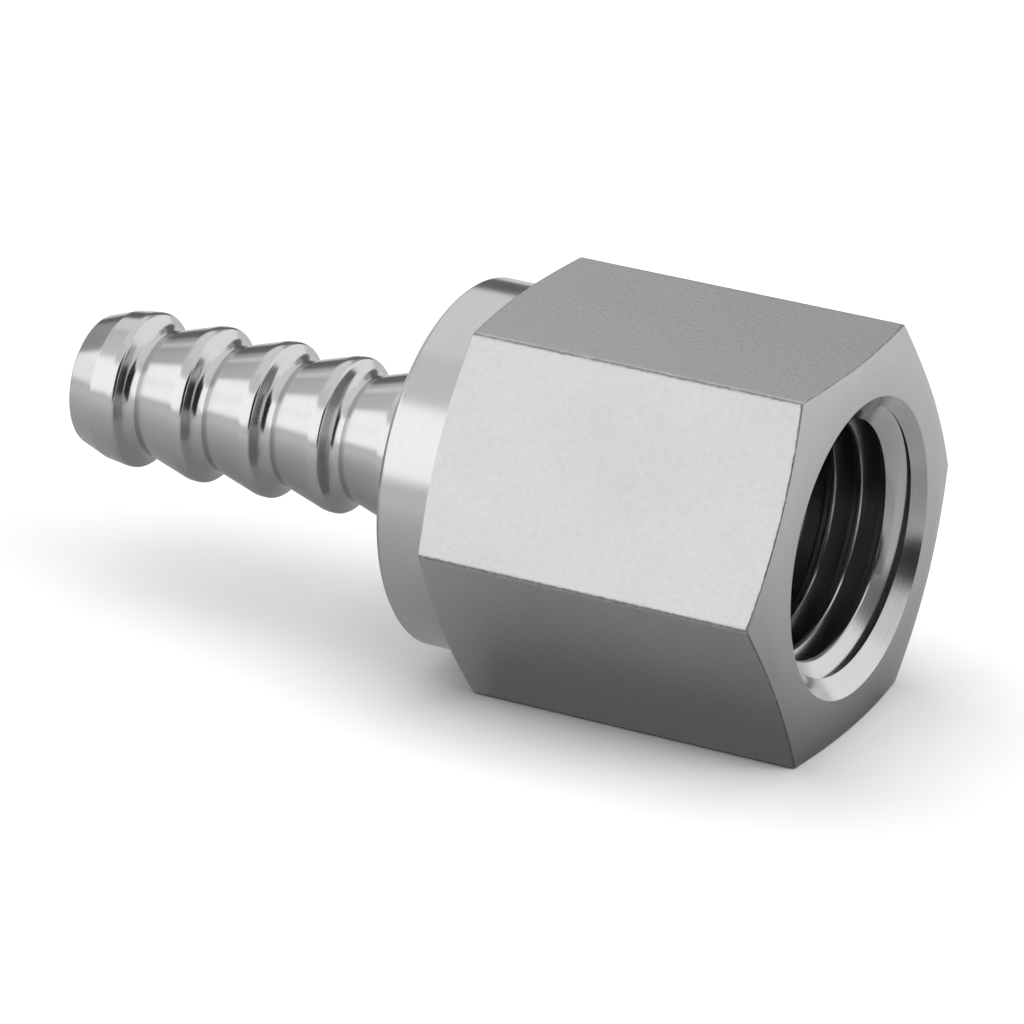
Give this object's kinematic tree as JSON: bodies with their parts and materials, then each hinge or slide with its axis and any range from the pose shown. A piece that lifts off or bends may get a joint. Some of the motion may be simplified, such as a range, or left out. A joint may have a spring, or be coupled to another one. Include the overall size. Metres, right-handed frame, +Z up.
{
  "type": "hose barb connector",
  "caption": "One-piece stainless hose barb connector: a hexagon body with a female taper pipe-thread port at one end and a ribbed hose stem at the other.",
  "frame": {"origin": "centre of the port's mouth, on the flow axis, in the plane of the hexagon's front face", "axes": "+X out of the port along the flow axis, the hose stem points along -X, +Z up, the hexagon lies on its lower flat"},
  "size_m": [0.0424, 0.0218, 0.019],
  "materials": {
    "connector_body": "bright bar stock: matte drawn flats on the hexagon, fine turned finish on the end face, collar, barbs and port"
  },
  "bodies": {
    "root": {"connector_body": "connector_body"}
  },
  "joints": []
}
